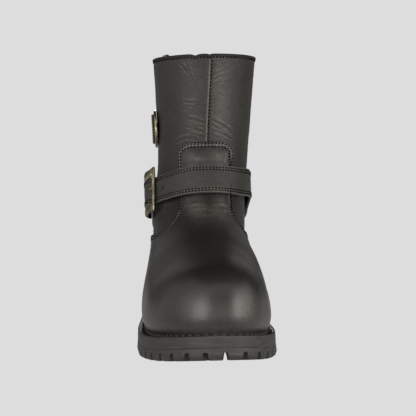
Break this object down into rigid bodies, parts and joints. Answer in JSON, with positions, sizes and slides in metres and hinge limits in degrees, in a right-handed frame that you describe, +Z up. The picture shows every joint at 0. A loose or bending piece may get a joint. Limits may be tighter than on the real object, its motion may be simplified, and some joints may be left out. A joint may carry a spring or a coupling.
{
  "type": "motorcycle boot",
  "caption": "Right-foot pull-on motorcycle boot in black leather: plain round toe, instep strap with a brass buckle, round ornament on the shaft, welted lug sole and heel.",
  "frame": {"origin": "on the floor under the middle of the heel, at the heel_tread mount", "axes": "+Z up, -Y towards the toe, +X towards the inner (medial) side of the foot"},
  "size_m": [0.1113, 0.3177, 0.2478],
  "materials": {
    "black_leather": "oiled black leather, soft sheen",
    "binding_leather": "matt black leather trim",
    "sole_rubber": "matt black rubber",
    "insole_board": "matt insole board",
    "pull_tape": "woven tape",
    "antique_brass": "antiqued, worn bright on edges"
  },
  "bodies": {
    "root": {"outsole": "sole_rubber", "heel": "sole_rubber", "midsole": "sole_rubber", "welt": "sole_rubber", "insole": "insole_board", "upper": "black_leather", "vamp": "black_leather", "collar_binding": "binding_leather", "front_seam": "black_leather", "pull_loop": "pull_tape", "strap": "black_leather", "strap_billet": "black_leather", "buckle_frame": "antique_brass", "buckle_prong": "antique_brass", "concho": "antique_brass"}
  },
  "joints": []
}
